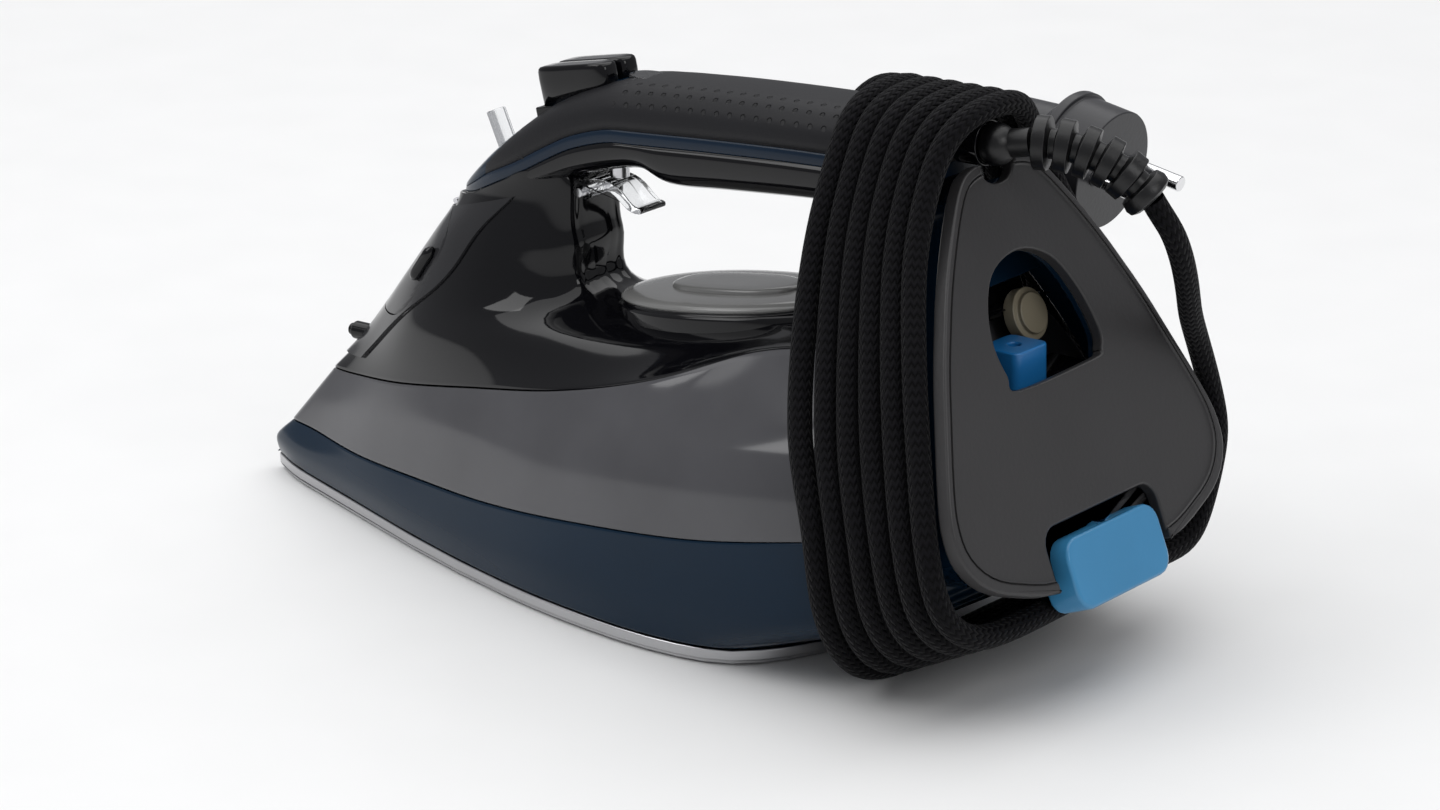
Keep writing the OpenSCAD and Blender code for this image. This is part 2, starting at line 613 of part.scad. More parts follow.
// Ribs and end bulb of the relief, as [place along its line, radius]
relief_profile = concat(
  [for (k = [4:2:12]) each [[k, 4.4], [k + 0.1, 8.2 - 0.06 * k], [k + 1.3, 8.2 - 0.06 * k],
    [k + 1.4, 4.4]]],
  [[14, 4.4], [14.1, 7], [14.8, 7.8], [15.5, 7.5], [15.9, 6]]);
module strain_relief() {
  color("#202124") tube([for (p = relief_profile)
    mix(relief_line[floor(p[0])], relief_line[floor(p[0]) + 1], p[0] - floor(p[0]))],
    [for (p = relief_profile) p[1]], [0, 0, 1], 16);
}

// The cord's centre line. Round the heel it follows a rounded triangle [y, z]; the lower points
// sink by up to drop from the rear turn to the front one.
cord_r = cord_d / 2;
wrap_points = [[0, 166, 0], [-15, 164, 0], [-24.5, 154, 0], [-37, 131, 0], [-50.5, 104, 0],
  [-61.5, 78, 0], [-68.5, 56, 0], [-66, 38, 0.4], [-55, 28, 0.8], [-38, 25.2, 1], [-14, 25.2, 1],
  [14, 25.2, 1], [38, 25.2, 1], [55, 28, 0.8], [66, 38, 0.4], [68.5, 56, 0], [61.5, 78, 0],
  [50.5, 104, 0], [37, 131, 0], [24.5, 154, 0], [15, 164, 0]];
wrap_drop = 21;
// Place of the rear and front turns along x, by height
rear_turn = [[4, -154], [28, -154], [60, -149], [104, -133], [131, -124], [154, -122], [168, -125]];
front_turn = [[4, -111], [34, -111], [54, -111], [71, -104.5], [91, -96.5], [116, -94],
  [132, -89.5], [168, -88]];
// Place on the wrap: q points round it, p from 0 at the rear turn to 1 at the front turn
function wrap_at(q, p) = let (m = len(wrap_points), w = wrap_points[(q % m + m) % m],
  z = w[1] - w[2] * wrap_drop * p) [mix(lookup(z, rear_turn), lookup(z, front_turn), p), w[0], z];
wrap_count = len(wrap_points);

lead_route = [[-165.8, -19.5, 140.1], [-168.5, -24, 132], [-167, -32, 121], [-162.5, -42, 109],
  [-157, -52, 98], [-152.5, -62, 88], [-150.5, -70, 76], [-151, -74, 64]];
tail_route = [[-103.5, -72.5, 62], [-86, -73, 64], [-66, -72, 74], [-44, -72, 86], [-25, -70, 100],
  [-18, -66.5, 118], [-21, -66, 134], [-31, -65, 145], [-41, -64.2, 148.3], [-50, -64, 146.6]];
module cord_lead() {
  color("#141414") tube(open_curve(lead_route, 2), cord_r, [1, 0, 0]);
}
module cord_tail() {
  color("#141414") tube(open_curve(tail_route, 2), cord_r, [0, 1, 0]);
}
module cord_winding() {
  n = wrap_count;
  push = function (q, p, out) let (a = wrap_at(q - 1, p), b = wrap_at(q + 1, p), c = wrap_at(q, p),
    t = [0, b[1] - a[1], b[2] - a[2]] / norm([b[1] - a[1], b[2] - a[2]]))
    c + out * [0, -t[2] * -1, t[1] * -1];
  color("#141414") ring_loft([for (c = [[0, -1], [1, -1], [1, 1], [0, 1]])
    [for (q = [0:n - 1]) let (w = push(q, c[0], -c[1] * (cord_r - 0.15)))
      w + [(c[0] * 2 - 1) * cord_r, 0, 0]]]);
}
plug_tail = [-50.4, -64, 146.4];
plug_dir = [-0.982, 0, -0.191] / norm([-0.982, 0, -0.191]);
module on_plug() {
  translate(plug_tail) rotate([0, acos(plug_dir[2]), atan2(plug_dir[1], plug_dir[0])]) children();
}
module mains_plug() {
  color("#2e2f32") on_plug() difference() {
    union() {
      cylinder(h = 20, r1 = 5.2, r2 = 6.5, $fn = 40);
      translate([0, 0, 20]) cylinder(h = 30, r1 = 9, r2 = 13, $fn = 40);
      translate([0, 0, 50]) cylinder(h = 5, r1 = 13, r2 = 19.5, $fn = round_fn);
      translate([0, 0, 55]) cylinder(h = 3, r = 19.5, $fn = round_fn);
      translate([0, 0, 58]) cylinder(h = 14, r = 18.4, $fn = round_fn);
    }
    for (k = [0:2], turn = [0, 180]) rotate([0, 0, turn + 90 * (k % 2)])
      translate([3.9, -8, 3.5 + 5.5 * k]) cube([5, 16, 2.4]);
    for (side = [-1, 1]) translate([0, side * 9.5, 62]) cylinder(h = 20, r = plug_pin_r, $fn = 24);
  }
}
module plug_pins() {
  color("silver") on_plug() for (side = [-1, 1]) translate([0, side * 9.5, 62])
    cylinder(h = 28.5, r = plug_pin_r, $fn = 24);
}

soleplate();
steam_chamber();
heating_element();
chamber_cover();
thermostat();
skirt();
tank();
tank_floor();
tank_gasket();
body_shell();
front_panel();
spray_nozzle();
heel_frame();
heel_shelf();
heel_cover();
handle_base();
trim_strip();
grip();
indicator_lens();
button_deck();
boost_button();
spray_button();
button_springs();
pumps();
water_hose();
steam_lever();
valve_rod();
trigger();
trigger_pin();
trigger_spring();
tank_lid();
lid_grip();
lid_pin();
control_pod();
mode_button();
descale_plug();
plug_seal();
descale_release();
valve_knob();
circuit_board();
terminal_block();
lead_wires();
swivel_socket();
swivel_ball();
strain_relief();
screws();
cord_lead();
cord_winding();
cord_tail();
mains_plug();
plug_pins();
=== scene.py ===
import math

import bmesh
import bpy
import numpy as np
from mathutils import Matrix, Vector


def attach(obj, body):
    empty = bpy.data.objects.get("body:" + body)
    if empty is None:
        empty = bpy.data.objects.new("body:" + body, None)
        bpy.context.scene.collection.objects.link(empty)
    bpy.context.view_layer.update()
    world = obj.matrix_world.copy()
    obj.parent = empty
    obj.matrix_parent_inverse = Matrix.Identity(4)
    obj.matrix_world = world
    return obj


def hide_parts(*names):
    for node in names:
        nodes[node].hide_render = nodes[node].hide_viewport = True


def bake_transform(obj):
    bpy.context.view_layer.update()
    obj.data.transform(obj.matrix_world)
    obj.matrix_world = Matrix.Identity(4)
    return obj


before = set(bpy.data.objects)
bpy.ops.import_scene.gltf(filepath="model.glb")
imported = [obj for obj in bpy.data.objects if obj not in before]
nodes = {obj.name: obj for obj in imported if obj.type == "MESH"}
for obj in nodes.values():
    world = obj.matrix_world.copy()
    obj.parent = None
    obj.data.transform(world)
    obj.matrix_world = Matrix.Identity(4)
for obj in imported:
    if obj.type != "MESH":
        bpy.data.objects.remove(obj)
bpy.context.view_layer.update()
MM = 0.001

# ---- camera: three-quarter rear view from the iron's left ----

EYE = Vector((-0.85146, 1.00946, 0.48363))
YAW, PITCH, ROLL = -0.88209, 0.31513, -0.02284
forward = Vector((math.cos(YAW) * math.cos(PITCH), math.sin(YAW) * math.cos(PITCH), -math.sin(PITCH)))
level = forward.cross(Vector((0, 0, 1))).normalized()
upright = level.cross(forward)
right = level * math.cos(ROLL) + upright * math.sin(ROLL)
up = upright * math.cos(ROLL) - level * math.sin(ROLL)
camera = bpy.data.objects.new("camera", bpy.data.cameras.new("camera"))
bpy.context.scene.collection.objects.link(camera)
camera.matrix_world = Matrix((
    (right.x, up.x, -forward.x, EYE.x),
    (right.y, up.y, -forward.y, EYE.y),
    (right.z, up.z, -forward.z, EYE.z),
    (0, 0, 0, 1)))
camera.data.sensor_width = 36
camera.data.lens = 112.4
camera.data.clip_start, camera.data.clip_end = 0.05, 50
bpy.context.scene.camera = camera


# ---- curves ----

def spline(points, n, closed=False):
    """A Catmull-Rom curve through the points, with n steps for each span."""
    p = np.array(points, float)
    m = len(p)
    spans = range(m if closed else m - 1)
    out = []
    for i in spans:
        if closed:
            a, b, c, d = p[i - 1], p[i], p[(i + 1) % m], p[(i + 2) % m]
        else:
            a, b, c, d = p[max(i - 1, 0)], p[i], p[i + 1], p[min(i + 2, m - 1)]
        for k in range(n):
            t = k / n
            out.append(b + 0.5 * t * ((c - a) + t * ((2 * a - 5 * b + 4 * c - d) + t * (3 * b - a - 3 * c + d))))
    if not closed:
        out.append(p[-1])
    return np.array(out)


def full_ring(half, n):
    """A closed ring from a half ring that runs from the nose along the left side to the middle of the rear."""
    left = np.vstack([spline(half[:-1], n), [half[-1]]])
    other = left[-2:0:-1] * np.array([1, -1, 1])
    return np.vstack([left, other])


def stack(rings, n):
    """Rings between the given ones, on smooth curves up the shell."""
    rings = np.array(rings)
    flat = spline(rings.reshape(len(rings), -1), n)
    return flat.reshape(len(flat), -1, 3)


def oval(a, b, bend, n):
    """Points round an oval; a bend of 1 is an ellipse, and less is nearer a box."""
    points = []
    for i in range(n):
        c, s = math.cos(2 * math.pi * i / n), math.sin(2 * math.pi * i / n)
        points.append((a * math.copysign(abs(c) ** bend, c), b * math.copysign(abs(s) ** bend, s)))
    return points


# ---- meshes ----

def new_mesh(name, points, faces, smooth=True):
    mesh = bpy.data.meshes.new(name)
    mesh.from_pydata([tuple(p) for p in points], [], faces)
    mesh.validate()
    for poly in mesh.polygons:
        poly.use_smooth = smooth
    obj = bpy.data.objects.new(name, mesh)
    bpy.context.scene.collection.objects.link(obj)
    return obj


def skin_rows(name, rows, closed=True, uv=None):
    """A surface through rows of points, with optional uv rows of the same shape."""
    m, n = len(rows), len(rows[0])
    faces = []
    for k in range(m - 1):
        for i in range(n if closed else n - 1):
            j = (i + 1) % n
            faces.append((k * n + i, k * n + j, (k + 1) * n + j, (k + 1) * n + i))
    obj = new_mesh(name, np.array(rows).reshape(-1, 3), faces)
    if uv is not None:
        flat = np.array(uv).reshape(-1, 2)
        layer = obj.data.uv_layers.new(name="uv")
        for poly in obj.data.polygons:
            for loop in poly.loop_indices:
                layer.data[loop].uv = flat[obj.data.loops[loop].vertex_index]
    return obj


def outward(obj):
    """Makes the faces look out."""
    b = bmesh.new()
    b.from_mesh(obj.data)
    bmesh.ops.recalc_face_normals(b, faces=b.faces)
    b.to_mesh(obj.data)
    b.free()
    return obj


def new_ends(obj, m, n):
    """Closes both ends of a skin of m rows of n points, and leaves the caps flat."""
    b = bmesh.new()
    b.from_mesh(obj.data)
    b.verts.ensure_lookup_table()
    b.faces.new([b.verts[i] for i in range(n)])
    b.faces.new([b.verts[(m - 1) * n + i] for i in range(n)])
    b.to_mesh(obj.data)
    b.free()
    for poly in obj.data.polygons:
        poly.use_smooth = len(poly.vertices) == 4
    return obj


def add_wall(obj, thickness):
    """Gives a skin its thickness, inwards."""
    solid = obj.modifiers.new("wall", "SOLIDIFY")
    solid.thickness = thickness
    solid.offset = -1
    return obj


def add_bevel(obj, width, angle):
    """Rounds the edges that are sharper than the angle."""
    edge = obj.modifiers.new("edge", "BEVEL")
    edge.width = width
    edge.segments = 2
    edge.limit_method = "ANGLE"
    edge.angle_limit = math.radians(angle)
    edge.use_clamp_overlap = False
    return edge


SHELL_EDGE, CAD_EDGE = 50, 32    # degrees from which an edge counts as sharp


def polish(name, width):
    """Softens a CAD part's edges and smooths its curved faces."""
    obj = nodes[name]
    for poly in obj.data.polygons:
        poly.use_smooth = True
    if "custom_normal" in obj.data.attributes:
        obj.data.attributes.remove(obj.data.attributes["custom_normal"])
    weld = obj.modifiers.new("weld", "WELD")
    weld.merge_threshold = 0.00001
    flat = obj.modifiers.new("flat", "DECIMATE")
    flat.decimate_type = "DISSOLVE"
    flat.angle_limit = math.radians(1.5)
    add_bevel(obj, width, CAD_EDGE).harden_normals = True


# ---- materials ----

def material(name, colour, rough, coat=0.0, metal=0.0, grain=0.0, grain_size=600.0, blotch=0.06,
             transmission=0.0, ior=1.46, spec=0.5):
    """A surface with slight cloudiness in its colour and gloss, and a fine grain in its bump."""
    mat = bpy.data.materials.new(name)
    mat.use_nodes = True
    tree = mat.node_tree
    shader = tree.nodes["Principled BSDF"]
    shader.inputs["Metallic"].default_value = metal
    shader.inputs["Coat Weight"].default_value = coat
    shader.inputs["Coat Roughness"].default_value = 0.03
    shader.inputs["Transmission Weight"].default_value = transmission
    shader.inputs["IOR"].default_value = ior
    shader.inputs["Specular IOR Level"].default_value = spec
    place = tree.nodes.new("ShaderNodeTexCoord")
    cloud = tree.nodes.new("ShaderNodeTexNoise")
    cloud.inputs["Scale"].default_value = 28
    cloud.inputs["Detail"].default_value = 4
    tree.links.new(place.outputs["Object"], cloud.inputs["Vector"])
    tint = tree.nodes.new("ShaderNodeValToRGB")
    tint.color_ramp.elements[0].position = 0.3
    tint.color_ramp.elements[1].position = 0.75
    tint.color_ramp.elements[0].color = tuple(c * (1 - blotch) for c in colour) + (1,)
    tint.color_ramp.elements[1].color = tuple(c * (1 + blotch) for c in colour) + (1,)
    tree.links.new(cloud.outputs["Fac"], tint.inputs["Fac"])
    tree.links.new(tint.outputs["Color"], shader.inputs["Base Color"])
    gloss = tree.nodes.new("ShaderNodeMapRange")
    gloss.inputs["To Min"].default_value = rough * 0.88
    gloss.inputs["To Max"].default_value = rough * 1.15
    tree.links.new(cloud.outputs["Fac"], gloss.inputs["Value"])
    tree.links.new(gloss.outputs["Result"], shader.inputs["Roughness"])
    if grain:
        fine = tree.nodes.new("ShaderNodeTexNoise")
        fine.inputs["Scale"].default_value = grain_size
        fine.inputs["Detail"].default_value = 3
        tree.links.new(place.outputs["Object"], fine.inputs["Vector"])
        bump = tree.nodes.new("ShaderNodeBump")
        bump.inputs["Strength"].default_value = grain
        bump.inputs["Distance"].default_value = 0.0002
        tree.links.new(fine.outputs["Fac"], bump.inputs["Height"])
        tree.links.new(bump.outputs["Normal"], shader.inputs["Normal"])
    return mat


def brushed(name, colour, rough, stretch):
    """Brushed metal: noise drawn out along one axis roughens and tints it."""
    mat = material(name, colour, rough, metal=1.0, blotch=0.03)
    tree = mat.node_tree
    shader = tree.nodes["Principled BSDF"]
    place = tree.nodes.new("ShaderNodeTexCoord")
    shape = tree.nodes.new("ShaderNodeMapping")
    shape.inputs["Scale"].default_value = stretch
    noise = tree.nodes.new("ShaderNodeTexNoise")
    noise.inputs["Scale"].default_value = 900
    noise.inputs["Detail"].default_value = 4
    bump = tree.nodes.new("ShaderNodeBump")
    bump.inputs["Strength"].default_value = 0.25
    bump.inputs["Distance"].default_value = 0.0001
    tree.links.new(place.outputs["Object"], shape.inputs["Vector"])
    tree.links.new(shape.outputs["Vector"], noise.inputs["Vector"])
    tree.links.new(noise.outputs["Fac"], bump.inputs["Height"])
    tree.links.new(bump.outputs["Normal"], shader.inputs["Normal"])
    return mat


def maths_in(tree):
    """A function that adds math nodes to the tree, fed by numbers or by other nodes."""
    def maths(kind, *values):
        node = tree.nodes.new("ShaderNodeMath")
        node.operation = kind
        for i, value in enumerate(values):
            if isinstance(value, (int, float)):
                node.inputs[i].default_value = value
            else:
                tree.links.new(value, node.inputs[i])
        return node.outputs[0]
    return maths


def braided(name):
    """Braid from the mesh's own uv: u runs along the cord in cord widths, v once round it. The colour is darker in
    the gaps between the threads, which is painted shade.
    """
    mat = material(name, (0.012, 0.012, 0.015), 0.7, blotch=0.1, spec=0.10)
    tree = mat.node_tree
    shader = tree.nodes["Principled BSDF"]
    uv = tree.nodes.new("ShaderNodeUVMap")
    uv.uv_map = "uv"
    split = tree.nodes.new("ShaderNodeSeparateXYZ")
    tree.links.new(uv.outputs["UV"], split.inputs["Vector"])

    maths = maths_in(tree)
    crossings, strands = 2.6, 12.0
    along = maths("MULTIPLY", split.outputs["X"], crossings)
    around = maths("MULTIPLY", split.outputs["Y"], strands)
    one = maths("ABSOLUTE", maths("SINE", maths("MULTIPLY", maths("ADD", along, around), math.pi)))
    two = maths("ABSOLUTE", maths("SINE", maths("MULTIPLY", maths("SUBTRACT", along, around), math.pi)))
    over = maths("GREATER_THAN", maths("SINE", maths("MULTIPLY", around, 2 * math.pi)), 0.0)
    thread = maths("ADD", maths("MULTIPLY", one, over), maths("MULTIPLY", two, maths("SUBTRACT", 1.0, over)))
    # painted shade: the weave's colour is darker in the gaps between the threads
    painted_gap_shade = tree.nodes.new("ShaderNodeValToRGB")
    painted_gap_shade.color_ramp.elements[0].color = (0.0008, 0.0008, 0.001, 1)
    painted_gap_shade.color_ramp.elements[1].color = (0.0045, 0.0042, 0.0055, 1)
    tree.links.new(thread, painted_gap_shade.inputs["Fac"])
    tree.links.new(painted_gap_shade.outputs["Color"], shader.inputs["Base Color"])
    bump = tree.nodes.new("ShaderNodeBump")
    bump.inputs["Strength"].default_value = 0.9
    bump.inputs["Distance"].default_value = 0.0005
    tree.links.new(thread, bump.inputs["Height"])
    tree.links.new(bump.outputs["Normal"], shader.inputs["Normal"])
    shader.inputs["Sheen Weight"].default_value = 0.04
    shader.inputs["Sheen Roughness"].default_value = 0.4
    return mat


def dimpled(name, colour):
    """Soft grip rubber with rows of small round dimples in a band of its uv; the dimples are coloured darker towards
    their middles, which is painted shade.
    """
    mat = material(name, colour, 0.48, grain=0.25, grain_size=900, spec=0.25)
    tree = mat.node_tree
    shader = tree.nodes["Principled BSDF"]
    grain_bump = [n for n in tree.nodes if n.type == "BUMP"][0]
    uv = tree.nodes.new("ShaderNodeUVMap")
    uv.uv_map = "uv"
    # u is millimetres along the handle, v millimetres down its side from the crown; every second row is shifted
    split = tree.nodes.new("ShaderNodeSeparateXYZ")
    tree.links.new(uv.outputs["UV"], split.inputs["Vector"])

    maths = maths_in(tree)
    spacing, row_height = 5.0, 4.3
    row = maths("DIVIDE", split.outputs["Y"], row_height)
    shift = maths("MULTIPLY", maths("FLOOR", row), 0.5)
    along = maths("FRACT", maths("ADD", maths("DIVIDE", split.outputs["X"], spacing), shift))
    dx = maths("MULTIPLY", maths("SUBTRACT", along, 0.5), spacing)
    dy = maths("MULTIPLY", maths("SUBTRACT", maths("FRACT", row), 0.5), row_height)
    reach = maths("SQRT", maths("ADD", maths("MULTIPLY", dx, dx), maths("MULTIPLY", dy, dy)))
    hole = tree.nodes.new("ShaderNodeMapRange")
    hole.inputs["From Min"].default_value = 0.55
    hole.inputs["From Max"].default_value = 0.95
    tree.links.new(reach, hole.inputs["Value"])
    band = tree.nodes.new("ShaderNodeAttribute")
    band.attribute_name = "dimples"
    mask = maths("SUBTRACT", 1.0, band.outputs["Fac"])
    depth = maths("MAXIMUM", hole.outputs["Result"], mask)
    # painted shade: inside each dimple the colour mixes towards a darker one
    painted_dimple_shade = tree.nodes.new("ShaderNodeMix")
    painted_dimple_shade.data_type = "RGBA"
    painted_dimple_shade.inputs["A"].default_value = (0.004, 0.004, 0.005, 1)
    ramp = [n for n in tree.nodes if n.type == "VALTORGB"][0]
    tree.links.new(depth, painted_dimple_shade.inputs["Factor"])
    tree.links.new(ramp.outputs["Color"], painted_dimple_shade.inputs["B"])
    tree.links.new(painted_dimple_shade.outputs["Result"], shader.inputs["Base Color"])
    bump = tree.nodes.new("ShaderNodeBump")
    bump.inputs["Strength"].default_value = 1.0
    bump.inputs["Distance"].default_value = 0.0006
    tree.links.new(depth, bump.inputs["Height"])
    tree.links.new(grain_bump.outputs["Normal"], bump.inputs["Normal"])
    tree.links.new(bump.outputs["Normal"], shader.inputs["Normal"])
    return mat


gloss_black = material("gloss_black", (0.003, 0.003, 0.004), 0.06, spec=0.36)
pod_grey = material("pod_grey", (0.19, 0.19, 0.185), 0.16, spec=0.6)
panel_grey = material("panel_grey", (0.024, 0.024, 0.026), 0.12, spec=0.3)
smoked = material("smoked_tank", (0.068, 0.068, 0.074), 0.10, blotch=0.12)
navy = material("navy", (0.004, 0.016, 0.034), 0.14, spec=0.16)
charcoal = material("charcoal", (0.030, 0.029, 0.030), 0.42, grain=0.35, grain_size=700)
blue_trim = material("blue_trim", (0.005, 0.015, 0.032), 0.22, spec=0.25)
rubber = material("rubber", (0.002, 0.002, 0.0025), 0.36, grain=0.3, grain_size=800)
grip_rubber = dimpled("grip_rubber", (0.010, 0.010, 0.012))
plug_rubber = material("plug_rubber", (0.020, 0.020, 0.023), 0.35, grain=0.25, grain_size=800)
sky = material("sky_blue", (0.045, 0.24, 0.46), 0.32, coat=0.2, grain=0.1)
release_blue = material("release_blue", (0.015, 0.17, 0.45), 0.3, coat=0.2)
beige = material("beige", (0.24, 0.21, 0.15), 0.4)
ivory = material("ivory", (0.7, 0.66, 0.55), 0.45)
clear = material("clear", (0.93, 0.94, 0.95), 0.05, transmission=1.0, ior=1.45, blotch=0.0)
sole_metal = brushed("sole_metal", (0.47, 0.47, 0.48), 0.28, (0.04, 1, 1))
steel = brushed("steel", (0.6, 0.6, 0.62), 0.25, (1, 1, 0.05))
cast = material("cast", (0.3, 0.3, 0.31), 0.5, metal=1.0, grain=0.5, grain_size=300)
seal = material("seal", (0.03, 0.03, 0.03), 0.6, grain=0.2)
board = material("board", (0.02, 0.16, 0.07), 0.4)
copper_lead = material("copper_lead", (0.25, 0.1, 0.05), 0.4)
pin_metal = brushed("pin_metal", (0.78, 0.78, 0.79), 0.15, (1, 1, 1))
braid = braided("braid")


def paint(obj, mat):
    obj.data.materials.clear()
    obj.data.materials.append(mat)
    return obj


# ---- cord: lead, about five and three quarter turns round the heel, tail and plug ----

CORD_R = 3.65 * MM
lead_route = [(-0.1655, -0.019, 0.141), (-0.1668, -0.0205, 0.137), (-0.1685, -0.024, 0.132), (-0.167, -0.032, 0.121),
              (-0.1625, -0.042, 0.109), (-0.157, -0.052, 0.098), (-0.1525, -0.062, 0.088),
              (-0.1505, -0.070, 0.076), (-0.151, -0.074, 0.064), (-0.1535, -0.0725, 0.052)]
tail_route = [(-0.1035, -0.070, 0.063), (-0.096, -0.0735, 0.0585), (-0.086, -0.0745, 0.0605), (-0.066, -0.072, 0.074),
              (-0.044, -0.072, 0.086), (-0.025, -0.070, 0.100), (-0.018, -0.0665, 0.118),
              (-0.021, -0.066, 0.134), (-0.031, -0.065, 0.145), (-0.041, -0.0642, 0.1483), (-0.050, -0.064, 0.1466)]
wrap = [(0, 166.2), (-15, 164), (-24.5, 154), (-37, 131), (-50.5, 104), (-61.5, 78), (-68.5, 56), (-66, 38),
        (-55, 28), (-38, 25.2), (-14, 25.2), (14, 25.2), (38, 25.2), (55, 28), (66, 38), (68.5, 56),
        (61.5, 78), (50.5, 104), (37, 131), (24.5, 154), (15, 164)]
sink = [0, 0, 0, 0, 0, 0, 0, 0.4, 0.8, 1, 1, 1, 1, 0.8, 0.4, 0, 0, 0, 0, 0, 0]
WRAP_DROP = 21    # how much lower the bottom of the front turn lies than the rear one's
rear_turn = [(4, -154), (28, -154), (60, -149), (104, -133), (131, -124), (154, -122), (168, -125)]
front_turn = [(4, -111), (34, -111), (54, -111), (71, -104.5), (91, -96.5), (116, -94), (132, -89.5), (168, -88)]


APART, APART_AT, APART_OVER = 1.6, 121.5, 1.6    # millimetres, and points of the wrap


def on_wrap(q, p):
    """Point q of the wrap, for a turn that lies p of the way from the rear turn to the front one."""
    i = q % len(wrap)
    y, z = wrap[i]
    z = z - sink[i] * WRAP_DROP * p
    rear = np.interp(z, *zip(*rear_turn))
    front = np.interp(z, *zip(*front_turn))
    # the front turn stands a little apart from its neighbour on the near side
    apart = APART * math.exp(-((q - APART_AT) / APART_OVER) ** 2)
    return np.array([rear + (front - rear) * p + apart, y, z]) * MM


FIRST, LAST = 8, 130            # points of the wrap where the lead ends and the tail starts
REAR_AT, TO_FRONT = 16, 105     # the point on the rear turn, and five rounds of points to the front turn
winding = [on_wrap(q, (q - REAR_AT) / TO_FRONT) for q in range(FIRST, LAST + 1)]
route = [np.array(p) for p in lead_route] + winding + [np.array(p) for p in tail_route]
fine = spline(route, 6)


STEP = 0.0024


def evenly(points, step):
    """The same curve with points an even step apart, and its length."""
    gaps = np.linalg.norm(np.diff(points, axis=0), axis=1)
    at = np.concatenate([[0], np.cumsum(gaps)])
    wanted = np.linspace(0, at[-1], int(at[-1] / step) + 1)
    return np.stack([np.interp(wanted, at, points[:, k]) for k in range(3)], 1), at[-1]


line, cord_length = evenly(fine, STEP)
# a light smoothing takes the kinks out of the joins between lead, turns and tail
for _ in range(6):
    line[1:-1] = 0.25 * line[:-2] + 0.5 * line[1:-1] + 0.25 * line[2:]
line, cord_length = evenly(line, STEP)


def tube(name, points, radius, sides, u_scale):
    """A tube along the points, open at its ends, with one radius or one for each point."""
    d = np.gradient(points, axis=0)
    d /= np.linalg.norm(d, axis=1)[:, None]
    side = np.cross(d[0], [0, 0, 1.0])
    side /= np.linalg.norm(side)
    rows, uv = [], []
    run = 0.0
    for i, p in enumerate(points):
        side = side - d[i] * (side @ d[i])
        side /= np.linalg.norm(side)
        other = np.cross(d[i], side)
        if i:
            run += np.linalg.norm(p - points[i - 1])
        angles = [2 * math.pi * k / sides for k in range(sides + 1)]
        r = radius[i] if hasattr(radius, "__len__") else radius
        rows.append([p + r * (math.cos(a) * side + math.sin(a) * other) for a in angles])
        uv.append([(run / u_scale, k / sides) for k in range(sides + 1)])
    return skin_rows(name, rows, closed=False, uv=uv)


BRAID_GAP = 0.00005    # keeps neighbouring turns from touching
cord = tube("cord_braid", line, CORD_R - BRAID_GAP, 20, 2 * CORD_R)
outward(cord)
paint(cord, braid)
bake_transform(cord)
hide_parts("cord_lead", "cord_winding", "cord_tail")


# ---- shells of the body, from the same rings as the CAD, finer ----

N_ALONG, N_UP = 8, 8


def at_z(half, z):
    return [(x, y, z) for x, y in half]


sole_half = [(171.1, 0), (166.4, 3), (152, 10), (118, 22), (78, 36), (38, 48), (0, 56.5), (-40, 60.5),
             (-68, 55), (-84, 33), (-91, 0)]
skirt_low = at_z(sole_half, 5.5)
skirt_mid = [(171.4, 0, 11.5), (167.6, 3.3, 11.6), (151, 10.8, 12), (116.5, 24, 13), (78, 37.5, 14.5),
             (37, 49.5, 16), (-3, 58.5, 17.5), (-48, 62.5, 19), (-92, 61, 21), (-135.6, 48, 28), (-137.6, 0, 27)]
skirt_top = [(162, 0, 18.6), (160, 3.5, 19), (145, 9.5, 20), (112, 23.5, 21.5), (75, 36, 24.5), (34, 48.5, 28.2),
             (-8, 58, 33.5), (-59, 63.5, 40), (-102, 63.2, 48), (-128.4, 59, 53), (-128.4, 0, 53)]
tank_mid = [(151.5, 0, 30), (149.5, 3.6, 30.4), (135.5, 9.5, 31.5), (102, 23.5, 36), (64, 36, 42.5),
            (21, 47, 49.5), (-20, 54.5, 58), (-65, 57.5, 67), (-101, 57, 73), (-119.6, 53, 76.5), (-119.6, 0, 76.5)]
tank_top = [(141.5, 0, 40.4), (139.5, 3.6, 41), (126, 9, 42.8), (92, 23, 49.5), (52, 34.5, 58.5),
            (8, 43, 68), (-31, 44, 79), (-64, 35, 91.5), (-92, 35, 97), (-111.6, 38, 99), (-111.6, 0, 99)]
arm_mid = [(125.5, 0, 55.5), (124.5, 3, 56), (114, 10, 58), (88, 23, 65.5), (54, 31.5, 72.5),
           (18, 34, 78), (-26, 32, 84.5), (-64, 28, 92.5), (-92, 28, 98), (-110, 31, 101.5), (-110, 0, 101.5)]
arm_top = [(108, 0, 75.5), (107.3, 3, 76), (100, 11, 77.5), (82, 20.5, 80.5), (60, 25, 83),
           (40, 24, 84.5), (26, 19, 85.5), (16, 13, 86.5), (13, 8.5, 87), (11.5, 4, 87.3), (11, 0, 87.4)]
pillar_mid = [(90.5, 0, 95.5), (90, 3, 95.7), (86, 10, 96.5), (76, 16.5, 98), (64, 19.5, 100),
              (52, 20, 101.5), (36, 17.5, 103), (27.2, 12.5, 104.3), (25.8, 8, 104.8), (25.4, 4, 105), (25.2, 0, 105)]
pillar_top = [(x, y, 131 - 0.31 * x) for x, y in [(82.5, 0), (82, 3), (78, 9), (70, 13), (61, 15.5), (51, 16.5),
                                                  (39, 15.5), (28.5, 12.5), (26.8, 8), (26.2, 4), (26, 0)]]

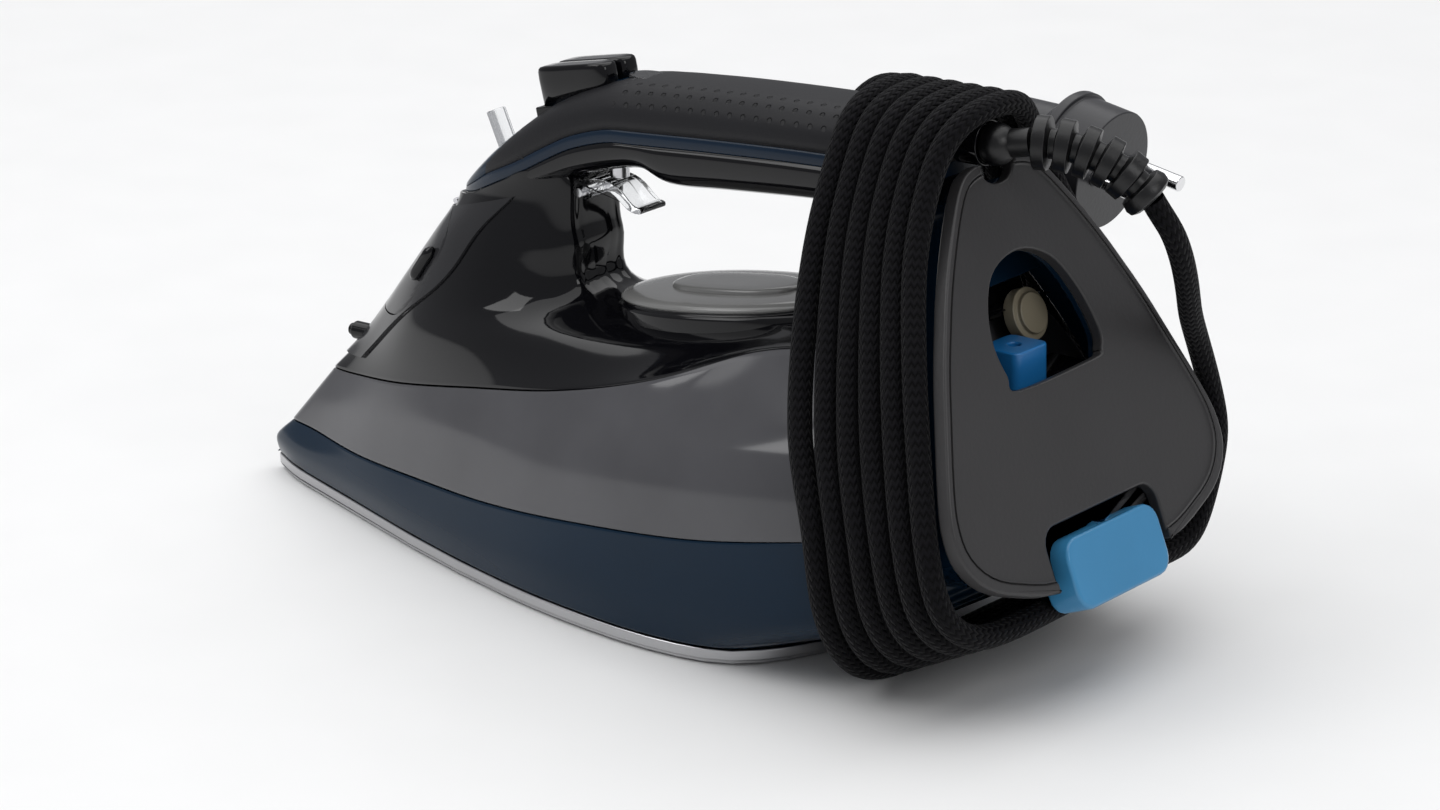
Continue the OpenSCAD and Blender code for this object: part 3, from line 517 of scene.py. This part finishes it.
# the pillar's sides run on up over the handle's underside to the trim strip
pillar_join = [(80.6, 0, 110.4), (80.2, 3, 110.7), (76.5, 7.6, 111.6), (69, 11.6, 113.4), (60, 14.6, 117.2),
               (51, 16.4, 121.4), (42, 17.3, 125.6), (34, 15, 127), (29, 10, 127), (27, 5, 127), (26.5, 0, 127)]


def rings(*halves):
    return [full_ring(h, N_ALONG) for h in halves]


def lifted(ring, dz):
    return ring + np.array([0, 0, dz])


SHELL_WALL, SHELL_RIM = 0.002, 0.0005
SEAM = 0.35


def shell_piece(name, rows, mat):
    obj = skin_rows(name, np.array(rows) * MM)
    outward(obj)
    add_wall(obj, SHELL_WALL)
    add_bevel(obj, SHELL_RIM, SHELL_EDGE)
    paint(obj, mat)
    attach(obj, "iron")
    return obj


skirt_rings = stack(rings(skirt_low, skirt_mid, skirt_top), N_UP)
skirt = shell_piece("skirt_shell", skirt_rings, navy)
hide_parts("skirt")
low, mid, top = rings(skirt_top, tank_mid, tank_top)
tank_rings = stack([lifted(low, SEAM), mid, top], N_UP)
tank = shell_piece("tank_shell", tank_rings, smoked)
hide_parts("tank")
body_rings = stack([lifted(top, SEAM)] + rings(arm_mid, arm_top, pillar_mid, pillar_top, pillar_join), N_UP)
body = shell_piece("body_outer", body_rings, gloss_black)
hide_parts("body_shell")

# ---- front panel and filling lid: a patch of the front, proud of the body ----

SLOPE = math.radians(48.7)
slope_at = np.array([98.3, 0, 90])
lid_half = [(27, 0), (25, 8), (18, 15), (8, 19), (-6, 19.6), (-20, 18.4), (-25, 15), (-27, 8), (-27.5, 0)]
lid_outline = spline(lid_half, 6)
lid_outline = np.vstack([lid_outline, lid_outline[-2:0:-1] * np.array([1, -1])])


def on_slope(p):
    """Place on the front slope: x runs down it, y to the left, z out of it."""
    d = np.asarray(p, float) - slope_at
    return np.array([d[0] * math.cos(SLOPE) - d[2] * math.sin(SLOPE), d[1],
                     d[0] * math.sin(SLOPE) + d[2] * math.cos(SLOPE)])


def from_slope(x, y, z):
    return slope_at + np.array([x * math.cos(SLOPE) + z * math.sin(SLOPE), y,
                                -x * math.sin(SLOPE) + z * math.cos(SLOPE)])


def inside(x, y, outline):
    hit = False
    for (x0, y0), (x1, y1) in zip(outline, np.roll(outline, -1, 0)):
        if (y0 > y) != (y1 > y) and x < x0 + (y - y0) * (x1 - x0) / (y1 - y0):
            hit = not hit
    return hit


PATCH_FROM, PATCH_TO = 4, 33      # rings of the body that the patch covers
PATCH_HALF = 32                   # steps from the patch's middle to each side
WIDE_LOW, WIDE_HIGH = 2.0, 5.4    # its half width at the nozzle and under the handle, in points of a half outline


def patch(out):
    """A skin over the front, this far out of the body: wide under the handle, narrow at the nozzle."""
    rows = []
    picked = body_rings[PATCH_FROM:PATCH_TO]
    n_ring = len(body_rings[0])
    for k, ring in enumerate(picked):
        t = k / (len(picked) - 1)
        wide = N_ALONG * (WIDE_LOW + (WIDE_HIGH - WIDE_LOW) * t ** 1.3)
        row = []
        for i in range(-PATCH_HALF, PATCH_HALF + 1):
            u = wide * i / PATCH_HALF
            low = math.floor(u)
            a, b = ring[low % n_ring], ring[(low + 1) % n_ring]
            row.append(a + (b - a) * (u - low))
        rows.append(row)
    rows = np.array(rows)
    along, across = np.gradient(rows, axis=1), np.gradient(rows, axis=0)
    n = np.cross(along, across)
    n /= np.linalg.norm(n, axis=2)[:, :, None]
    if n[len(picked) // 2, PATCH_HALF, 0] < 0:
        n = -n
    return rows + n * out


CUTTER_Z = (-30, 20)           # from inside the body to clear of it
LID_LONG, LID_WIDE = 27, 19    # half sizes of the lid


def cut_prism(name, grow, outline=lid_outline):
    """A block over an outline on the slope, square to it; grow widens the lid's outline."""
    n = len(outline)
    rows = []
    for z in CUTTER_Z:
        rows.append([from_slope(x * (1 + grow / LID_LONG), y * (1 + grow / LID_WIDE), z)
                     for x, y in outline])
    obj = skin_rows(name, np.array(rows) * MM)
    return outward(new_ends(obj, 2, n))


def cut(obj, cutter, kind):
    """Cuts the object's mesh for good and removes the cutter."""
    made = obj.modifiers.new("cut", "BOOLEAN")
    made.object = cutter
    made.operation = kind
    made.solver = "MANIFOLD"
    bpy.context.view_layer.update()
    depsgraph = bpy.context.evaluated_depsgraph_get()
    mesh = bpy.data.meshes.new_from_object(obj.evaluated_get(depsgraph))
    obj.modifiers.clear()
    obj.data = mesh
    for poly in mesh.polygons:
        poly.use_smooth = True
    mesh.set_sharp_from_angle(angle=math.radians(40))
    bpy.data.objects.remove(cutter)
    return obj


PANEL_OUT, PANEL_WALL = 0.9, 0.0014


def slab(name):
    """The patch as a thin plate; the panel and the lid are each cut from one."""
    obj = skin_rows(name, patch(PANEL_OUT) * MM, closed=False)
    if sum(poly.normal.x for poly in obj.data.polygons) < 0:
        obj.data.flip_normals()
    return add_wall(obj, PANEL_WALL)


# ---- heel: places on the cover's face ----

LEAN = math.radians(20.5)
heel_at = np.array([-167.5, 0, 36.6])


def on_heel(x, y, z):
    """x to the iron's left, y up the cover, z into the iron, in millimetres."""
    return heel_at + np.array([y * math.sin(LEAN) + z * math.cos(LEAN), x, y * math.cos(LEAN) - z * math.sin(LEAN)])


# A dark wall inside the heel, behind the window
BACK_AT, BACK_HALF, BACK_BEND, BACK_STEPS = (-2, 86.5), (32, 7), 0.3, 48
liner_rows = []
for depth, k in ((29.0, 0.9), (29.4, 1.0), (30.6, 1.0), (31.0, 0.9)):
    edge = oval(BACK_HALF[0] * k, BACK_HALF[1] * k, BACK_BEND, BACK_STEPS)
    liner_rows.append([on_heel(BACK_AT[0] + x, BACK_AT[1] + y, depth) for x, y in edge])
liner = skin_rows("window_back", np.array(liner_rows) * MM)
outward(new_ends(liner, len(liner_rows), BACK_STEPS))
paint(liner, gloss_black)
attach(liner, "iron")

# ---- handle ----

handle_rows = [
    (79, 110, 111, 112.6, 2), (74, 110.5, 112, 116.5, 7.5), (66, 112, 114.5, 123.4, 11.8),
    (56, 114.6, 119, 131.6, 14.8), (45, 118, 124, 139.8, 16.4), (34, 121.5, 129.8, 147, 17.1),
    (22, 125.8, 135.6, 152.6, 17.4), (8, 129.5, 139.7, 157, 17.5), (-3, 131, 140.7, 158.4, 17.5),
    (-13, 127.5, 141.4, 159.2, 17.5), (-34, 129, 142.8, 160.5, 17.5), (-64, 131.3, 144.4, 161.6, 17.5),
    (-90, 132.5, 145, 161.9, 17), (-104, 132.5, 144.6, 161.4, 16.2), (-110, 133, 144, 159.8, 15)]
STRIP = 4.0
fine_rows = spline(handle_rows, 5)


def strip_height(row):
    return min(STRIP, (row[3] - row[2]) * 0.35)


PROFILE_STEPS = 24      # over the crown, from side to side
FLAT_STEPS = 8          # across the flat side
UV_SHIFT = (200, 100)   # keeps the uv above zero


def half_profile(w, z0, z1):
    out = []
    for k in range(PROFILE_STEPS + 1):
        a = math.pi * k / PROFILE_STEPS
        c, s = math.cos(a), max(math.sin(a), 0)
        out.append((w * abs(c) ** 0.6 * (1 if c > 0 else -1), z0 + (z1 - z0) * s ** 0.75))
    return out


def handle_part(name, low, high, mat, uv=False):
    """One sweep along the handle; low and high give the flat side and the crown for each row."""
    rows, uvs = [], []
    for r in fine_rows:
        prof = half_profile(r[4], low(r), high(r))
        edge = prof[-1][0]
        flat = [(edge * (1 - 2 * k / FLAT_STEPS), low(r)) for k in range(1, FLAT_STEPS)]
        ring = [(r[0], y, z) for y, z in prof + flat]
        rows.append(ring)
        gaps = np.linalg.norm(np.diff(np.array(ring), axis=0), axis=1)
        run = np.concatenate([[0], np.cumsum(gaps)])
        crown = run[PROFILE_STEPS // 2]
        uvs.append([(UV_SHIFT[0] - r[0], UV_SHIFT[1] + abs(v - crown)) for v in run])
    obj = skin_rows(name, np.array(rows) * MM, closed=True, uv=uvs if uv else None)
    ends = new_ends(obj, len(rows), len(rows[0]))
    outward(ends)
    paint(ends, mat)
    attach(ends, "iron")
    return ends


base = handle_part("handle_under", lambda r: r[2], lambda r: r[1], gloss_black)
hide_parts("handle_base")
grip = handle_part("handle_grip", lambda r: r[2] + strip_height(r) + 0.2, lambda r: r[3],
                   grip_rubber, uv=True)
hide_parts("grip")
# The dimples cover the sides of the grip, in rows, from behind the buttons to the heel
dimples = grip.data.attributes.new("dimples", "FLOAT", "POINT")
DIMPLED, DIMPLED_BEHIND = (4, 9), 5    # steps down each side of the profile; millimetres along the iron
values = []
for r in fine_rows:
    for k in range(PROFILE_STEPS + FLAT_STEPS):
        on_side = DIMPLED[0] <= min(k, PROFILE_STEPS - k) <= DIMPLED[1]
        values.append(1.0 if on_side and r[0] < DIMPLED_BEHIND else 0.0)
dimples.data.foreach_set("value", values)

STRIP_PROFILE = [(1, 0), (1.012, 0.12), (1.03, 0.5), (1.012, 0.88), (1, 1),
                 (-1, 1), (-1.012, 0.88), (-1.03, 0.5), (-1.012, 0.12), (-1, 0)]
strip_rows = []
for r in fine_rows:
    h = strip_height(r)
    strip_rows.append([(r[0], y * r[4], r[2] + 0.1 + z * h) for y, z in STRIP_PROFILE])
strip = skin_rows("handle_strip", np.array(strip_rows) * MM)
new_ends(strip, len(strip_rows), len(STRIP_PROFILE))
outward(strip)
paint(strip, blue_trim)
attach(strip, "iron")
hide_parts("trim_strip")

# ---- front panel and lid, cut from one skin ----

panel = cut(slab("front_panel_outer"), cut_prism("lid_space", 0.3), "DIFFERENCE")
paint(panel, panel_grey)
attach(panel, "iron")
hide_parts("front_panel")
lid = cut(slab("lid_outer"), cut_prism("lid_shape", -0.1), "INTERSECT")
assert len(lid.data.vertices) > 500, "the lid came out of its cut empty"
paint(lid, panel_grey)
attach(lid, "tank_lid")
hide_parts("tank_lid")

# the filling opening in the body, under the lid
filler = [(2 + x, y) for x, y in oval(9, 7, 1, 48)]
full = len(body.data.vertices)
cut(body, cut_prism("filler_space", 0, filler), "DIFFERENCE")
assert len(body.data.vertices) > full, "the filling opening is missing"

# a raised finger rib along each side of the lid
RIB_Y, RIB_X, RIB_POINTS = 18.0, (-16, -1), 16
RIB_OUT, RIB_R = 1.9, 0.0021
slope_rows = np.array([[on_slope(p) for p in row] for row in patch(RIB_OUT)])
for name, side in (("lid_rib_left", 1), ("lid_rib_right", -1)):
    # where each row of the skin passes the rib's distance from the middle: place down the slope, height
    crossing = []
    for row in slope_rows:
        row = row if row[-1, 1] > row[0, 1] else row[::-1]
        crossing.append([np.interp(side * RIB_Y, row[:, 1], row[:, k]) for k in (0, 2)])
    crossing = np.array(crossing)
    crossing = crossing[np.argsort(crossing[:, 0])]
    spine = []
    for x in np.linspace(*RIB_X, RIB_POINTS):
        z = np.interp(x, crossing[:, 0], crossing[:, 1])
        spine.append(from_slope(x, side * RIB_Y, z) * MM)
    taper = [0.25, 0.7, 0.92]
    sizes = taper + [1.0] * (RIB_POINTS - 2 * len(taper)) + taper[::-1]
    rib = tube(name, np.array(spine), [RIB_R * k for k in sizes], 16, 1)
    paint(outward(rib), gloss_black)
    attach(rib, "tank_lid")
    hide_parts("lid_grip")

# ---- loops on an inclined place: the oval pod, its button, and the two thumb buttons ----

OVAL_STEPS = 64


def oval_loft(name, place, tilt, levels, a, b, power, mat, body, replaced):
    """Closed oval rings, each (height, scale), round a tilted axis; power 2 is an ellipse, 4 nearly a box."""
    c, s = math.cos(tilt), math.sin(tilt)
    rows = []
    for z, k in levels:
        rows.append([(place[0] + x * c + z * s, place[1] + y, place[2] - x * s + z * c)
                     for x, y in oval(a * k, b * k, 2 / power, OVAL_STEPS)])
    obj = skin_rows(name, np.array(rows) * MM)
    outward(new_ends(obj, len(rows), OVAL_STEPS))
    paint(obj, mat)
    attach(obj, body)
    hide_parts(replaced)
    return obj


POD_AT, POD_TILT = (-28, 0, 95.5), math.radians(6.8)
POD_EDGE = 1.6    # how far below the top the grey starts
pod = oval_loft("pod_shell", POD_AT, POD_TILT,
                [(-14, 0.97), (-9, 0.995), (-3.6, 1), (-2.8, 0.992), (-2.4, 0.965), (-2.0, 0.945), (-1.5, 0.945),
                 (-1.0, 0.965), (-0.4, 0.96), (0.3, 0.93), (0.9, 0.85), (1.3, 0.72), (1.45, 0.5)],
                42, 24.3, 2.2, gloss_black, "iron", "control_pod")
pod.data.materials.append(pod_grey)
for poly in pod.data.polygons:
    x, z = poly.center.x * 1000, poly.center.z * 1000
    if z > POD_AT[2] - (x - POD_AT[0]) * math.tan(POD_TILT) - POD_EDGE:
        poly.material_index = 1
oval_loft("mode_button_cap", (-29, 0, 95.5), POD_TILT,
          [(-2, 1), (1.9, 1), (2.5, 0.985), (2.9, 0.95), (3.1, 0.88), (3.15, 0.5)],
          23.5, 11, 2.4, pod_grey, "mode_button", "mode_button")
BUTTON_TILT = math.radians(10.5)
for body_name, side in (("boost_button", 1), ("spray_button", -1)):
    oval_loft(body_name + "_cap", (27.2, side * 4.65, 147), BUTTON_TILT,
              [(-1.5, 0.97), (8, 1), (10.4, 0.995), (11.4, 0.97), (11.9, 0.92), (12.15, 0.8), (12.1, 0.5)],
              14.2, 4.35, 4.5, gloss_black, body_name, body_name)

# the front of the grip has a glossy dark collar in front of the rubber
COLLAR_FROM, COLLAR_HALF, COLLAR_SPREAD = 10, 5.5, 0.16
grip.data.materials.append(navy)
for poly in grip.data.polygons:
    x, y = poly.center.x * 1000, abs(poly.center.y * 1000)
    if x > COLLAR_FROM and y < COLLAR_HALF + COLLAR_SPREAD * (x - COLLAR_FROM):
        poly.material_index = 1

# ---- CAD parts that keep their shape ----

finishes = {
    "soleplate": (sole_metal, 0.0006), "steam_chamber": (cast, 0.0005), "heating_element": (steel, 0.0),
    "chamber_cover": (steel, 0.0003), "thermostat": (ivory, 0.0003), "tank_floor": (panel_grey, 0.0003),
    "tank_gasket": (seal, 0.0002), "spray_nozzle": (gloss_black, 0.0003), "heel_frame": (navy, 0.0004),
    "heel_shelf": (gloss_black, 0.0003), "heel_cover": (charcoal, 0.0009), "indicator_lens": (clear, 0.0003),
    "button_deck": (gloss_black, 0.0004), "button_springs": (steel, 0.0), "pumps": (ivory, 0.0003),
    "water_hose": (seal, 0.0),
    "steam_lever": (clear, 0.0004), "valve_rod": (steel, 0.0), "trigger": (clear, 0.0004),
    "trigger_pin": (steel, 0.0002), "trigger_spring": (steel, 0.0), "lid_pin": (steel, 0.0),
    "descale_plug": (sky, 0.0012), "plug_seal": (seal, 0.0002),
    "descale_release": (release_blue, 0.0006), "valve_knob": (beige, 0.0004), "circuit_board": (board, 0.0002),
    "terminal_block": (ivory, 0.0003), "lead_wires": (copper_lead, 0.0), "swivel_socket": (gloss_black, 0.0003),
    "swivel_ball": (rubber, 0.0), "strain_relief": (rubber, 0.0003), "screws": (steel, 0.0),
    "mains_plug": (plug_rubber, 0.0005), "plug_pins": (pin_metal, 0.0004)}
for name, (mat, width) in finishes.items():
    obj = nodes[name]
    if width:
        polish(name, width)
    obj.data.materials.clear()
    obj.data.materials.append(mat)


# ---- stage: pale floor and soft studio light ----

REACH = 6
corners = [(-REACH, -REACH, 0), (REACH, -REACH, 0), (REACH, REACH, 0), (-REACH, REACH, 0)]
floor = new_mesh("floor", corners, [(0, 1, 2, 3)], smooth=False)
floor.location.z = -0.0003
paint(floor, material("floor_white", (0.86, 0.86, 0.855), 0.5, blotch=0.005))

world = bpy.data.worlds.new("studio")
bpy.context.scene.world = world
bpy.context.scene.view_settings.view_transform = "Standard"
world.use_nodes = True
world.node_tree.nodes["Background"].inputs["Color"].default_value = (0.95, 0.96, 1.0, 1)
world.node_tree.nodes["Background"].inputs["Strength"].default_value = 0.36


def softbox(name, place, aim, size, power):
    light = bpy.data.lights.new(name, "AREA")
    light.shape = "RECTANGLE"
    light.size, light.size_y = size
    light.energy = power
    obj = bpy.data.objects.new(name, light)
    bpy.context.scene.collection.objects.link(obj)
    obj.location = place
    obj.rotation_mode = "QUATERNION"
    obj.rotation_quaternion = (Vector(aim) - Vector(place)).to_track_quat("-Z", "Y")


softbox("key", (0.9, 1.2, 1.3), (0, 0, 0.08), (1.0, 0.8), 8)
softbox("rear", (-1.5, 0.3, 1.0), (-0.05, 0, 0.08), (0.8, 0.6), 5)
softbox("top", (0.6, -0.8, 2.6), (0.6, -0.8, 0), (4.5, 4.5), 90)
